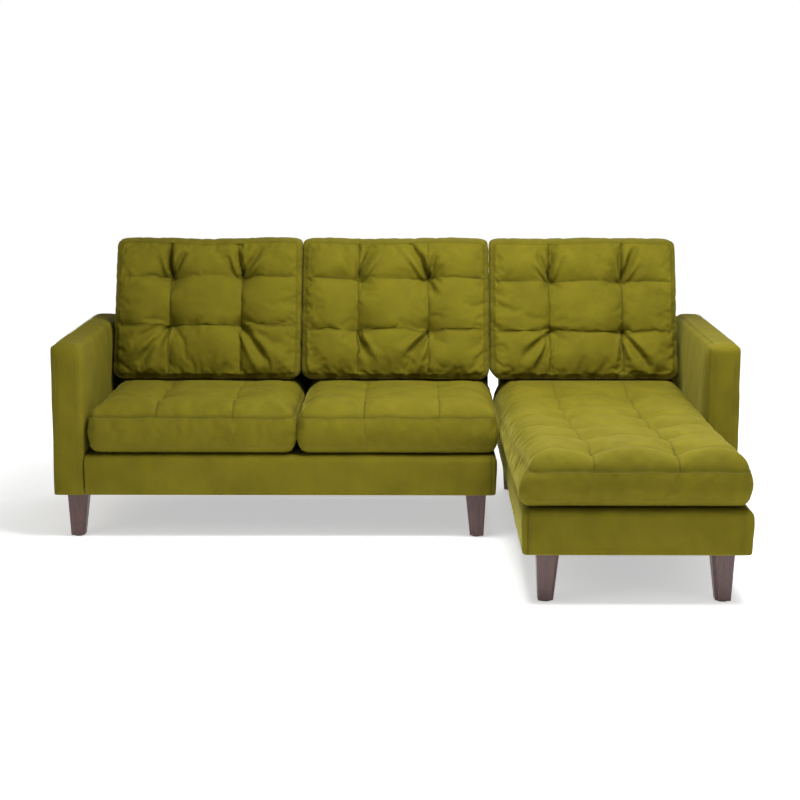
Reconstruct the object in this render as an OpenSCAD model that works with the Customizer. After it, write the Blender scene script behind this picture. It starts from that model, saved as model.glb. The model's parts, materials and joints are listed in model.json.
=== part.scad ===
// Chaise sectional sofa in two free-standing units: a left-arm two-seater and a right-arm chaise.
// Origin: on the floor under the middle of the whole sofa. +X is the sitter's left-to-right as seen
// from the front, +Y runs to the back, +Z is up. All sizes are millimetres.

/* [Overall] */
// Width over both arms
total_w = 2200; // [2160:10:2260]
// Depth of the chaise, from its nose to the outside back
chaise_d = 1602; // [1580:2:1640]
// Depth of the two-seater, from the arm fronts to the outside back
sofa_d = 837; // [830:1:850]
// Height of the arms and of the back frame
arm_h = 635; // [620:1:650]
// Width of one arm
arm_w = 98; // [92:1:104]
// Height of the back cushions' top edge
cushion_top = 918; // [890:1:930]

/* [Units] */
// Right-hand end of the two-seater's base
two_seater_end = 325; // [315:1:335]
// Left-hand side of the chaise's base
chaise_side = 366; // [360:1:376]
// Height of the upholstered base
base_h = 133; // [128:1:140]

/* [Legs] */
// Height of the underside of the base above the floor
leg_h = 145; // [135:1:150]
// Width of a leg at its top
leg_top = 66; // [60:1:70]
// How much the outer and front faces taper in
taper_out = 7; // [4:1:10]
// How much the inner and back faces taper in
taper_in = 15; // [10:1:18]
// Wide chamfer on the inner front edge
leg_chamfer = 9; // [6:1:12]

/* [Back] */
// Lean of the inside back from upright, in degrees
rake = 12; // [8:1:14]
// Thickness of the back at its top
back_top_t = 96; // [90:1:110]
// Thickness of a back cushion at its foot
pillow_foot_t = 235; // [220:5:260]
// Thickness of a back cushion at its crest
pillow_crest_t = 125; // [90:5:130]

/* [Seat] */
// Height of the seat cushions' flat top
seat_h = 443; // [435:1:450]
// Where the two-seater's cushions meet
seat_split = -317; // [-330:1:-300]
// Sinuous springs in the two-seater
two_seater_springs_n = 10; // [8:1:10]
// Sinuous springs across the chaise
chaise_springs_n = 12; // [10:1:12]

/* [Hidden] */
$fn = 48;
x_arm = total_w / 2;              // outside of an arm
x_in = x_arm - arm_w;             // inside of an arm
y_back = chaise_d / 2;            // outside back
y_front = y_back - sofa_d;        // front of the arms and of the two-seater
y_nose = -chaise_d / 2;           // front of the chaise
z_base = leg_h;                   // underside of the base
z_deck = z_base + base_h;         // top of the base
two_seater_x = [-x_in, two_seater_end];
chaise_x = [chaise_side, x_in];

seam = 0.2;                       // glue line or seam between neighbouring pieces
wrap = 10;                        // padded cover round the base
back_wrap = 6;                    // padded cover on the outside back and the arms
timber = 25;                      // thickness of a rail
z_timber = z_base + 3;            // underside of the timber
rail_top = z_deck - 15;           // top of the seat rails
spring_rail_y = [622, 647];       // cross rail that the two-seater's springs end on
board_y = 652;                    // front edge of the back frame's bottom board
board_t = 25;
block_side = 100;                 // corner blocks, along the rails
block_h = 60;
stretcher_h = 65;
chaise_bay = (spring_rail_y[0] - y_nose) / 3;

wire_r = 2;                       // sinuous spring wire
spring_z = rail_top + 3.3;        // height of the wire's centre line
spring_straight = 20;             // straight part of each bar
clip = [24, 14, 6.6];             // spring clip
pad_z = rail_top + 7.6;           // underside of the deck pad

foam_t = 14;                      // padding on the inside back
web_gap = 1;                      // padding to webbing
web_t = 1.6;
web_h = 50;
post_t = 22;                      // back posts
top_board_z = arm_h - 32;         // underside of the back's top board
top_pad = 10;                     // padding on top of the back

plate = [56, 56, 2.2];            // leg plate
plate_bore_r = 4.1;
stud_r = 4;
glide_t = 4;
glide_r = 15;
leg_foot = leg_top - taper_out - taper_in;

cover_t = 4;                      // cushion cover with its fibre wrap
core_gap = 0.3;                   // cover to core
cushion_gap = 2;                  // between neighbouring cushions, and to the arms

connector_y = [420, 700];         // where the two units clip together
connector_z = [z_deck - 43, z_deck - 3];

// Leg positions: [x, y, outer side (-1 left, 1 right), front side (-1 front, 1 back)]
front_leg_y = 30 + leg_top / 2;
rear_leg_y = y_back - 81;
outer_leg_in = 71;                // legs under the arms, in from the outside
leg_two_fl = [-x_arm + outer_leg_in, y_front + front_leg_y, -1, -1];
leg_two_fr = [two_seater_end - 64, y_front + front_leg_y, 1, -1];
leg_two_rl = [-x_arm + outer_leg_in, rear_leg_y, -1, 1];
leg_two_rr = [two_seater_end - 64, rear_leg_y, 1, 1];
leg_ch_fl = [chaise_side + 73, y_nose + front_leg_y, -1, -1];
leg_ch_fr = [x_in - 67, y_nose + front_leg_y, 1, -1];
leg_ch_rl = [chaise_side + 48, rear_leg_y, -1, 1];
leg_ch_rr = [x_arm - outer_leg_in, rear_leg_y, 1, 1];
two_seater_legs = [leg_two_fl, leg_two_fr, leg_two_rl, leg_two_rr];
chaise_legs = [leg_ch_fl, leg_ch_fr, leg_ch_rl, leg_ch_rr];

velvet = "#6E6A1C";
leg_wood = "#5A4340";
softwood = "#D2B48C";
steel = "#A8A9AD";
black_steel = "#26262A";
felt = "#8E8E88";
cambric = "#202022";
foam = "#EFE6B8";
fibre = "#F4F4F0";
plastic = "#2B2422";

// Front of the inside back at height z
function rake_y(z) = y_back - back_top_t - (arm_h - z) * tan(rake);
// n even steps from a to b
function steps(a, b, n) = [for (i = [0:n - 1]) a + (b - a) * i / (n - 1)];

// ---------- helpers ----------

// Box between two corners
module block(lo, hi) {
    translate(lo) cube(hi - lo);
}

// Board or sewn panel between two corners, trimmed so that neighbours stay separate pieces
module board(lo, hi) {
    block(lo + [1, 1, 1] * seam / 2, hi - [1, 1, 1] * seam / 2);
}

// A profile drawn in Y and Z, carried along X
module along_x(x0, x1) {
    translate([x0, 0, 0]) rotate([90, 0, 90]) linear_extrude(height = x1 - x0) children();
}

// A profile drawn in X and Z, carried along Y
module along_y(y0, y1) {
    translate([0, y1, 0]) rotate([90, 0, 0]) linear_extrude(height = y1 - y0) children();
}

// Rectangle with round corners between two points
module soft_rect(lo, hi, r) {
    translate([lo.x + r, lo.y]) square([hi.x - lo.x - 2 * r, hi.y - lo.y]);
    translate([lo.x, lo.y + r]) square([hi.x - lo.x, hi.y - lo.y - 2 * r]);
    for (x = [lo.x + r, hi.x - r], y = [lo.y + r, hi.y - r]) {
        translate([x, y]) circle(r);
    }
}

// Rod along X
module rod_x(x0, x1, y, z, r) {
    translate([x0, y, z]) rotate([0, 90, 0]) cylinder(h = x1 - x0, r = r);
}

// Mirrored to the right-hand side of the sofa
module right_hand() {
    mirror([1, 0, 0]) children();
}

// ---------- seat frame ----------

// Rails round one base, with the cross rail that carries the back
module seat_rails(x, y0) {
    lo = [x[0] + wrap, y0 + wrap, z_timber];
    hi = [x[1] - wrap, y_back - back_wrap, rail_top];
    board(lo, [hi.x, lo.y + timber, hi.z]);
    board([lo.x, hi.y - timber, lo.z], hi);
    board([lo.x, lo.y + timber, lo.z], [lo.x + timber, hi.y - timber, hi.z]);
    board([hi.x - timber, lo.y + timber, lo.z], [hi.x, hi.y - timber, hi.z]);
    board([lo.x + timber, spring_rail_y[0], lo.z], [hi.x - timber, spring_rail_y[1], hi.z]);
}

// Glued triangular blocks in the four corners
module corner_blocks(x, y0) {
    lo = [x[0] + wrap + timber, y0 + wrap + timber];
    hi = [x[1] - wrap - timber, y_back - back_wrap - timber];
    for (sx = [0, 1], sy = [0, 1]) {
        translate([sx ? hi.x : lo.x, sy ? hi.y : lo.y, z_timber])
            mirror([sx, 0, 0]) mirror([0, sy, 0])
                linear_extrude(height = block_h)
                    polygon([[seam, seam], [block_side, seam], [seam, block_side]]);
    }
}

module two_seater_seat_rails() {
    mid = (two_seater_x[0] + two_seater_x[1]) / 2;
    color(softwood) {
        seat_rails(two_seater_x, y_front);
        board([mid - timber / 2, y_front + wrap + timber, z_timber],
              [mid + timber / 2, spring_rail_y[0], z_timber + stretcher_h]);
    }
}

module two_seater_corner_blocks() {
    color(softwood) corner_blocks(two_seater_x, y_front);
}

module chaise_seat_rails() {
    color(softwood) {
        seat_rails(chaise_x, y_nose);
        for (y = steps(y_nose + chaise_bay, spring_rail_y[0] - chaise_bay, 2)) {
            board([chaise_x[0] + wrap + timber, y - timber / 2, z_timber],
                  [chaise_x[1] - wrap - timber, y + timber / 2, z_timber + stretcher_h]);
        }
    }
}

module chaise_corner_blocks() {
    color(softwood) corner_blocks(chaise_x, y_nose);
}

// ---------- springs ----------

// Zig-zag wire from the origin along +Y: bars across, joined by half rings
module sinuous_spring(bars, pitch) {
    for (i = [0:bars - 1]) {
        rod_x(-spring_straight / 2, spring_straight / 2, i * pitch, 0, wire_r);
    }
    for (i = [0:bars - 2]) {
        side = i % 2 == 0 ? 1 : -1;
        translate([side * spring_straight / 2, (i + 0.5) * pitch, 0])
            rotate([0, 0, -90 * side])
                rotate_extrude(angle = 180) translate([pitch / 2, 0]) circle(wire_r);
    }
}

// Folded clip that holds the end bar of a spring, its mouth towards +Y
module spring_clip() {
    slot = 2 * wire_r + 0.6;
    difference() {
        translate([-clip.x / 2, -clip.y / 2, rail_top]) cube(clip);
        translate([-clip.x, -slot / 2, spring_z - slot / 2]) cube([2 * clip.x, clip.y, slot]);
    }
}

two_seater_spring_x = steps(two_seater_x[0] + 85, two_seater_x[1] - 85, two_seater_springs_n);
two_seater_spring_y = [y_front + wrap + timber / 2, (spring_rail_y[0] + spring_rail_y[1]) / 2];
two_seater_bars = 17;
chaise_spring_y = steps(y_nose + 90, spring_rail_y[0] - 47, chaise_springs_n);
chaise_spring_x = [chaise_x[0] + wrap + timber / 2, chaise_x[1] - wrap - timber / 2];
chaise_bars = 16;

module two_seater_springs() {
    pitch = (two_seater_spring_y[1] - two_seater_spring_y[0]) / (two_seater_bars - 1);
    color(steel)
        for (x = two_seater_spring_x) {
            translate([x, two_seater_spring_y[0], spring_z])
                sinuous_spring(two_seater_bars, pitch);
        }
}

module two_seater_spring_clips() {
    color(steel)
        for (x = two_seater_spring_x) {
            translate([x, two_seater_spring_y[0], 0]) spring_clip();
            translate([x, two_seater_spring_y[1], 0]) rotate([0, 0, 180]) spring_clip();
        }
}

module chaise_springs() {
    pitch = (chaise_spring_x[1] - chaise_spring_x[0]) / (chaise_bars - 1);
    color(steel)
        for (y = chaise_spring_y) {
            translate([chaise_spring_x[0], y, spring_z])
                rotate([0, 0, -90]) sinuous_spring(chaise_bars, pitch);
        }
}

module chaise_spring_clips() {
    color(steel)
        for (y = chaise_spring_y) {
            translate([chaise_spring_x[0], y, 0]) rotate([0, 0, -90]) spring_clip();
            translate([chaise_spring_x[1], y, 0]) rotate([0, 0, 90]) spring_clip();
        }
}

// ---------- base covers ----------

module deck_pad(x, y0) {
    color(felt) block([x[0] + wrap, y0 + wrap, pad_z], [x[1] - wrap, board_y - 2, z_deck]);
}

module two_seater_deck_pad() {
    deck_pad(two_seater_x, y_front);
}

module chaise_deck_pad() {
    deck_pad(chaise_x, y_nose);
}

// Black cloth under one base and under its arm
module dust_cover(x, y0) {
    block([x[0] + wrap, y0 + wrap, z_timber - 0.8], [x[1] - wrap, y_back - back_wrap, z_timber]);
}

module arm_dust_cover() {
    block([-x_arm + back_wrap, y_front + back_wrap, z_timber - 0.8],
          [-x_in, y_back - back_wrap, z_timber]);
}

module two_seater_dust_cover() {
    color(cambric) {
        dust_cover(two_seater_x, y_front);
        arm_dust_cover();
    }
}

module chaise_dust_cover() {
    color(cambric) {
        dust_cover(chaise_x, y_nose);
        right_hand() arm_dust_cover();
    }
}

// Padded cover round a base: front, left and right panels. A panel behind an arm starts at z_timber.
module base_cover(x, y0, z_left, z_right) {
    board([x[0], y0, z_base], [x[1], y0 + wrap, z_deck]);
    board([x[0], y0 + wrap, z_left], [x[0] + wrap, y_back - back_wrap, z_deck]);
    board([x[1] - wrap, y0 + wrap, z_right], [x[1], y_back - back_wrap, z_deck]);
}

module two_seater_base_cover() {
    color(velvet) base_cover(two_seater_x, y_front, z_timber, z_base);
}

module chaise_base_cover() {
    color(velvet) base_cover(chaise_x, y_nose, z_base, z_timber);
}

// ---------- back ----------

// Bottom board, raked posts and top board of one back
module back_frame(x, posts) {
    x0 = x[0] + wrap;
    x1 = x[1] - wrap;
    y1 = y_back - back_wrap;
    inset = foam_t + web_gap + web_t + 0.4;
    z0 = rail_top + board_t;
    color(softwood) {
        board([x0, board_y, rail_top], [x1, y1, z0]);
        for (px = steps(x0, x1 - post_t, posts)) {
            along_x(px, px + post_t)
                polygon([[rake_y(z0) + inset, z0 + seam], [y1 - seam, z0 + seam],
                         [y1 - seam, top_board_z - seam],
                         [rake_y(top_board_z) + inset, top_board_z - seam]]);
        }
        board([x0, rake_y(arm_h - top_pad) + inset, top_board_z], [x1, y1, arm_h - top_pad]);
    }
}

module two_seater_back_frame() {
    back_frame(two_seater_x, 4);
}

module chaise_back_frame() {
    back_frame(chaise_x, 3);
}

// Four elastic bands across the posts
module back_webbing(x) {
    color(cambric)
        for (z = steps(z_deck + 70, top_board_z - 35, 4)) {
            y = rake_y(z) + foam_t + web_gap;
            dy = web_h / 2 * tan(rake);
            along_x(x[0] + wrap, x[1] - wrap)
                polygon([[y - dy, z - web_h / 2], [y + web_t - dy, z - web_h / 2],
                         [y + web_t + dy, z + web_h / 2], [y + dy, z + web_h / 2]]);
        }
}

module two_seater_back_webbing() {
    back_webbing(two_seater_x);
}

module chaise_back_webbing() {
    back_webbing(chaise_x);
}

// Padded inside back, its top roll, and the cover on the free end of the frame
module inside_back(x, end_x) {
    z1 = arm_h - top_pad;
    color(velvet) {
        along_x(x[0], x[1])
            polygon([[rake_y(z_deck), z_deck], [rake_y(z_deck) + foam_t, z_deck],
                     [rake_y(arm_h) + foam_t, arm_h], [rake_y(arm_h), arm_h]]);
        block([x[0], rake_y(arm_h) + foam_t + seam, z1], [x[1], y_back, arm_h]);
        along_x(end_x, end_x + wrap)
            polygon([[rake_y(z_deck) + foam_t + seam, z_deck + seam],
                     [y_back - back_wrap - seam, z_deck + seam],
                     [y_back - back_wrap - seam, z1 - seam],
                     [rake_y(z1) + foam_t + seam, z1 - seam]]);
    }
}

module two_seater_inside_back() {
    inside_back(two_seater_x, two_seater_x[1] - wrap);
}

module chaise_inside_back() {
    inside_back(chaise_x, chaise_x[0]);
}

module outside_back(x) {
    color(velvet) block([x[0], y_back - back_wrap, z_base], [x[1], y_back, arm_h - top_pad - seam]);
}

module two_seater_outside_back() {
    outside_back(two_seater_x);
}

module chaise_outside_back() {
    outside_back(chaise_x);
}

// ---------- arms, drawn for the left-hand side ----------

arm_top_pad = 12;
arm_pad = 12;                     // padding on the inner face
ply = 15;

module arm_frame() {
    x0 = -x_arm + back_wrap;
    x1 = -x_in - arm_pad;
    x2 = -x_in - 22;
    y0 = y_front + back_wrap;
    y1 = y_back - back_wrap;
    z0 = z_timber + 18;
    z1 = arm_h - arm_top_pad;
    color(softwood) {
        board([x0, y0, z_timber], [-x_in, y1, z0]);
        board([x0, y0, z0], [x1, y0 + ply, z1 - 18]);
        board([x0, y1 - ply, z0], [x1, y1, z1 - 18]);
        for (y = [y0 + 270, y0 + 540]) {
            board([x0, y, z0], [x2, y + ply, z1 - 18]);
        }
        board([x0, y0, z1 - 18], [x1, y1, z1]);
        board([x2, y0 + ply, z0], [-x_in, y1 - ply, rail_top]);
    }
}

// Sewn cover in panels: outside, front, back, inside and a soft top
module arm_cover() {
    z1 = arm_h - arm_top_pad;
    xo = -x_arm + back_wrap;
    color(velvet) {
        board([-x_arm, y_front, z_base], [xo, y_back, z1]);
        board([xo, y_front, z_base], [-x_in, y_front + back_wrap, z1]);
        board([xo, y_back - back_wrap, z_base], [-x_in, y_back, z1]);
        board([-x_in - arm_pad, y_front + back_wrap, z_deck],
              [-x_in, y_back - back_wrap, z1]);
        along_y(y_front, y_back) intersection() {
            soft_rect([-x_arm, z1 - 2 * arm_top_pad], [-x_in, arm_h], arm_top_pad);
            translate([-x_arm, z1]) square([arm_w, arm_top_pad]);
        }
    }
}

module left_arm_frame() {
    arm_frame();
}

module left_arm_cover() {
    arm_cover();
}

module right_arm_frame() {
    right_hand() arm_frame();
}

module right_arm_cover() {
    right_hand() arm_cover();
}

// ---------- bolts ----------

bolt_r = 4;
bolt_z = z_timber + 80;

// Bolts that pull an arm against the side rail, heads inside the base
module arm_bolts() {
    head_x = -x_in + wrap + timber;
    for (y = [y_front + 96, y_front + 416, y_front + 716]) {
        rod_x(-x_in - 28, head_x + 1.6, y, bolt_z, bolt_r);
        rod_x(head_x, head_x + 1.6, y, bolt_z, 9);
        translate([head_x + 1.6, y, bolt_z]) rotate([0, 90, 0]) cylinder(h = 5.5, r = 7.5, $fn = 6);
    }
}

// Bolts that hold the back's bottom board down on the rear rail
module back_bolts(x) {
    z = rail_top + board_t;
    y = y_back - back_wrap - timber / 2;
    for (bx = steps(x[0] + 90, x[1] - 90, 4)) {
        translate([bx, y, z - 60]) cylinder(h = 61.6, r = bolt_r);
        translate([bx, y, z]) cylinder(h = 1.6, r = 9);
        translate([bx, y, z + 1.6]) cylinder(h = 5.5, r = 7.5, $fn = 6);
    }
}

module two_seater_frame_bolts() {
    color(steel) {
        arm_bolts();
        back_bolts(two_seater_x);
    }
}

module chaise_frame_bolts() {
    color(steel) {
        right_hand() arm_bolts();
        back_bolts(chaise_x);
    }
}

// ---------- legs ----------

// Square with a small chamfer, and a wide one on the inner front corner at +X -Y
module leg_section(side) {
    h = side / 2;
    c = 3;
    k = leg_chamfer;
    linear_extrude(height = 0.01)
        polygon([[-h + c, -h], [h - k, -h], [h, -h + k], [h, h - c], [h - c, h],
                 [-h + c, h], [-h, h - c], [-h, -h + c]]);
}

// One tapered leg: its outer and front faces lean less than its inner and back faces
module leg(p) {
    shift = (taper_in - taper_out) / 2;
    color(leg_wood)
        translate([p[0], p[1], 0])
            mirror([p[2] > 0 ? 1 : 0, 0, 0]) mirror([0, p[3] > 0 ? 1 : 0, 0])
                hull() {
                    translate([-shift, -shift, glide_t]) leg_section(leg_foot);
                    translate([0, 0, z_base - 0.01]) leg_section(leg_top);
                }
}

// Centre of a leg's foot
function foot(p) = [p[0] + p[2] * (taper_in - taper_out) / 2,
                    p[1] + p[3] * (taper_in - taper_out) / 2];

module leg_plates(legs) {
    color(steel)
        for (p = legs) {
            translate([p[0], p[1], z_base]) difference() {
                translate([-plate.x / 2, -plate.y / 2, 0]) cube(plate);
                translate([0, 0, -1]) cylinder(h = plate.z + 2, r = plate_bore_r);
            }
        }
}

module leg_studs(legs) {
    color(steel)
        for (p = legs) {
            translate([p[0], p[1], z_base - 40]) cylinder(h = 70, r = stud_r);
        }
}

module leg_glides(legs) {
    color(plastic)
        for (p = legs) {
            translate([foot(p).x, foot(p).y, 0]) {
                cylinder(h = glide_t, r = glide_r);
                cylinder(h = glide_t + 14, r = 1.6);
            }
        }
}

module two_seater_leg_front_left() {
    leg(leg_two_fl);
}

module two_seater_leg_front_right() {
    leg(leg_two_fr);
}

module two_seater_leg_rear_left() {
    leg(leg_two_rl);
}

module two_seater_leg_rear_right() {
    leg(leg_two_rr);
}

module chaise_leg_front_left() {
    leg(leg_ch_fl);
}

module chaise_leg_front_right() {
    leg(leg_ch_fr);
}

module chaise_leg_rear_left() {
    leg(leg_ch_rl);
}

module chaise_leg_rear_right() {
    leg(leg_ch_rr);
}

module two_seater_leg_plates() {
    leg_plates(two_seater_legs);
}

module two_seater_leg_studs() {
    leg_studs(two_seater_legs);
}

module two_seater_leg_glides() {
    leg_glides(two_seater_legs);
}

module chaise_leg_plates() {
    leg_plates(chaise_legs);
}

module chaise_leg_studs() {
    leg_studs(chaise_legs);
}

module chaise_leg_glides() {
    leg_glides(chaise_legs);
}

// ---------- connectors between the units ----------

mount_t = 2.5;                    // connector plates
plate_half = 32;                  // half the plate's length
blade = [28, 36, 3];              // reach, width and thickness
blade_z = connector_z[1] - 14;    // underside of the blade
jaw_reach = 26;
jaw_t = 2.2;
jaw_gap = 0.3;                    // jaw to blade
lip = [5, 4];                     // turned-out mouth of a jaw

// Blades on the two-seater: a plate with a flat blade that points at the chaise
module two_seater_connector_blades() {
    x = two_seater_end;
    color(black_steel)
        for (y = connector_y) {
            block([x, y - plate_half, connector_z[0]],
                  [x + mount_t, y + plate_half, connector_z[1]]);
            block([x, y - blade.y / 2, blade_z],
                  [x + mount_t + blade.x, y + blade.y / 2, blade_z + blade.z]);
        }
}

// Jaws on the chaise: a plate with two spring leaves that grip the blade from above and below
module chaise_connector_jaws() {
    x = chaise_side;
    z0 = blade_z - jaw_gap;
    z1 = blade_z + blade.z + jaw_gap;
    mouth = x - jaw_reach;
    color(black_steel)
        for (y = connector_y) {
            block([x - mount_t, y - plate_half, connector_z[0]], [x, y + plate_half, connector_z[1]]);
            block([mouth, y - 20, z0 - jaw_t], [x, y + 20, z0]);
            block([mouth, y - 20, z1], [x, y + 20, z1 + jaw_t]);
            along_y(y - 20, y + 20) {
                polygon([[mouth, z0 - jaw_t], [mouth, z0], [mouth - lip[0], z0 - lip[1]],
                         [mouth - lip[0], z0 - lip[1] - jaw_t]]);
                polygon([[mouth, z1], [mouth, z1 + jaw_t], [mouth - lip[0], z1 + lip[1] + jaw_t],
                         [mouth - lip[0], z1 + lip[1]]]);
            }
        }
}

// Two screws a plate; direction is 1 where they go in towards +X
module connector_screws(face_x, direction) {
    color(black_steel)
        for (y = connector_y, s = [-1, 1]) {
            translate([face_x, y + s * 26.5, connector_z[0] + 14]) rotate([0, 90 * direction, 0]) {
                translate([0, 0, -2.4]) cylinder(h = 2.4, r = 4);
                cylinder(h = 30, r = 2);
            }
        }
}

module two_seater_connector_screws() {
    connector_screws(two_seater_end + mount_t, -1);
}

module chaise_connector_screws() {
    connector_screws(chaise_side - mount_t, 1);
}

// ---------- cushions ----------

left_seat_x = [-x_in + 14, seat_split - cushion_gap];
middle_seat_x = [seat_split + cushion_gap, two_seater_end + 6];
chaise_seat_x = [chaise_side - 24, x_in - cushion_gap];
seat_back_y = rake_y(z_deck) - 4;
seat_radius = 45;

// Boxed seat cushion, smaller by inset on every side
module seat_cushion(x, y0, inset) {
    along_x(x[0] + inset, x[1] - inset)
        soft_rect([y0 + inset, z_deck + 1.5 + inset], [seat_back_y - inset, seat_h - inset],
                  seat_radius - inset);
}

module seat_cover(x, y0) {
    color(velvet) difference() {
        seat_cushion(x, y0, 0);
        seat_cushion(x, y0, cover_t);
    }
}

module seat_core(x, y0) {
    color(foam) seat_cushion(x, y0, cover_t + core_gap);
}

module left_seat_cushion_cover() {
    seat_cover(left_seat_x, y_front - 4);
}

module left_seat_cushion_core() {
    seat_core(left_seat_x, y_front - 4);
}

module middle_seat_cushion_cover() {
    seat_cover(middle_seat_x, y_front - 4);
}

module middle_seat_cushion_core() {
    seat_core(middle_seat_x, y_front - 4);
}

module chaise_seat_cushion_cover() {
    seat_cover(chaise_seat_x, y_nose);
}

module chaise_seat_cushion_core() {
    seat_core(chaise_seat_x, y_nose);
}

pillow_w = 651;
left_pillow_x = [-x_in + 17, -x_in + 17 + pillow_w];
middle_pillow_x = left_pillow_x + [1, 1] * (pillow_w + 2 * cushion_gap);
right_pillow_x = middle_pillow_x + [1, 1] * (pillow_w + 2 * cushion_gap);
pillow_foot = seat_h + 2;
pillow_radius = 60;

// Side view of a back cushion leaning on the inside back, smaller by inset
module pillow_profile(inset) {
    z0 = pillow_foot + inset;
    z1 = cushion_top - inset;
    rear = [rake_y(z0) - 2 - inset, rake_y(z1) - 2 - inset];
    front = [rake_y(z0) - pillow_foot_t + inset, rake_y(z1) - pillow_crest_t + inset];
    c = 30;
    slope = (front[1] - front[0]) / (z1 - z0);
    polygon([[front[0] + c, z0], [rear[0] - c * tan(rake), z0], [rear[1] - c * tan(rake), z1 - c],
             [rear[1] - c, z1], [front[1] + c, z1], [front[1] - c * slope, z1 - c],
             [front[0] + c * slope, z0 + c]]);
}

// Front view of a back cushion, smaller by inset
module pillow_outline(x, inset) {
    soft_rect([x[0] + inset, pillow_foot + inset], [x[1] - inset, cushion_top - inset],
              pillow_radius - inset);
}

module back_cushion(x, inset) {
    intersection() {
        along_x(x[0] - 1, x[1] + 1) pillow_profile(inset);
        along_y(rake_y(pillow_foot) - pillow_foot_t - 1, y_back) pillow_outline(x, inset);
    }
}

module pillow_cover(x) {
    color(velvet) difference() {
        back_cushion(x, 0);
        back_cushion(x, cover_t);
    }
}

module pillow_fill(x) {
    color(fibre) back_cushion(x, cover_t + core_gap);
}

module left_back_cushion_cover() {
    pillow_cover(left_pillow_x);
}

module left_back_cushion_fill() {
    pillow_fill(left_pillow_x);
}

module middle_back_cushion_cover() {
    pillow_cover(middle_pillow_x);
}

module middle_back_cushion_fill() {
    pillow_fill(middle_pillow_x);
}

module right_back_cushion_cover() {
    pillow_cover(right_pillow_x);
}

module right_back_cushion_fill() {
    pillow_fill(right_pillow_x);
}

// ---------- nodes ----------

two_seater_seat_rails();
two_seater_corner_blocks();
two_seater_springs();
two_seater_spring_clips();
two_seater_deck_pad();
two_seater_dust_cover();
two_seater_base_cover();
two_seater_back_frame();
two_seater_back_webbing();
two_seater_inside_back();
two_seater_outside_back();
left_arm_frame();
left_arm_cover();
two_seater_frame_bolts();
two_seater_leg_front_left();
two_seater_leg_front_right();
two_seater_leg_rear_left();
two_seater_leg_rear_right();
two_seater_leg_plates();
two_seater_leg_studs();
two_seater_leg_glides();
two_seater_connector_blades();
two_seater_connector_screws();
chaise_seat_rails();
chaise_corner_blocks();
chaise_springs();
chaise_spring_clips();
chaise_deck_pad();
chaise_dust_cover();
chaise_base_cover();
chaise_back_frame();
chaise_back_webbing();
chaise_inside_back();
chaise_outside_back();
right_arm_frame();
right_arm_cover();
chaise_frame_bolts();
chaise_leg_front_left();
chaise_leg_front_right();
chaise_leg_rear_left();
chaise_leg_rear_right();
chaise_leg_plates();
chaise_leg_studs();
chaise_leg_glides();
chaise_connector_jaws();
chaise_connector_screws();
left_seat_cushion_cover();
left_seat_cushion_core();
middle_seat_cushion_cover();
middle_seat_cushion_core();
chaise_seat_cushion_cover();
chaise_seat_cushion_core();
left_back_cushion_cover();
left_back_cushion_fill();
middle_back_cushion_cover();
middle_back_cushion_fill();
right_back_cushion_cover();
right_back_cushion_fill();
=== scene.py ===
"""Looks of the chaise sectional: velvet upholstery and cushions, stitching and legs.

The model's frame, in metres: +X along the width towards the chaise, +Y to the back, +Z up.
"""
import json
import math

import bmesh
import bpy
import numpy as np
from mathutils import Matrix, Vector, noise


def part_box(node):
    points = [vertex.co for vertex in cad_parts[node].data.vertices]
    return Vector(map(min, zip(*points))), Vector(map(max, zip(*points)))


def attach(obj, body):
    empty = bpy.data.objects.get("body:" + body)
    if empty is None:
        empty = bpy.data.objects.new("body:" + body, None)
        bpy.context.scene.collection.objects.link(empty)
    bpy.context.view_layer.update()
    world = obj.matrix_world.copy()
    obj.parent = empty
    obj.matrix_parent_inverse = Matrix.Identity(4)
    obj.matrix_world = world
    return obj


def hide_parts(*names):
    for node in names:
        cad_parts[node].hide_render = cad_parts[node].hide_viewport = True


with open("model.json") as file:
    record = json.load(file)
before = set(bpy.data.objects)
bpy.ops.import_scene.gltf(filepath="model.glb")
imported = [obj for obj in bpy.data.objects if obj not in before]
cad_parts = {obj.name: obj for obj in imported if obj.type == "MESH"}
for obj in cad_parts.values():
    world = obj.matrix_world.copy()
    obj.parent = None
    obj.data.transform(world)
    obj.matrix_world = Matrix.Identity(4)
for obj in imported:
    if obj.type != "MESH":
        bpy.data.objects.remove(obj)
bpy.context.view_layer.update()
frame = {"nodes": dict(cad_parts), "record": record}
MM = 0.001

# ---------- camera, light and floor ----------

CAMERA_AT = Vector((0.0608, -5.808, 1.4381))
CAMERA_PITCH = math.radians(9.637)
CAMERA_YAW = 0.0078
CAMERA_LENS = 82.56

FLOOR_HALF = 40.0
FLOOR_GLOW = (0.48, 0.84)       # near the sofa and far away: pale shadows, and white out to the horizon
GLOW_REACH = (0.9, 2.6)
WORLD_STRENGTH = 0.20
# name: place, target, size, power in watts
LIGHTS = {
    "overhead": ((0.65, -0.60, 2.4), (0.45, -1.05, 0.3), (1.7, 1.1), 108),
    "front_left": ((-3.4, -3.0, 2.9), (0.0, 0.0, 0.5), (1.4, 1.4), 20),
    "front_right": ((3.6, -3.8, 2.2), (0.3, 0.0, 0.4), (2.0, 1.8), 12),
    "rear": ((1.0, 4.0, 2.8), (0.0, 0.0, 0.5), (2.4, 1.6), 40),
}


def add_camera():
    data = bpy.data.cameras.new("camera")
    data.lens = CAMERA_LENS
    data.sensor_width = 36
    data.clip_end = 60
    camera = bpy.data.objects.new("camera", data)
    camera.location = CAMERA_AT
    camera.rotation_euler = (math.pi / 2 - CAMERA_PITCH, 0, CAMERA_YAW)
    bpy.context.scene.collection.objects.link(camera)
    bpy.context.scene.camera = camera


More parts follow.
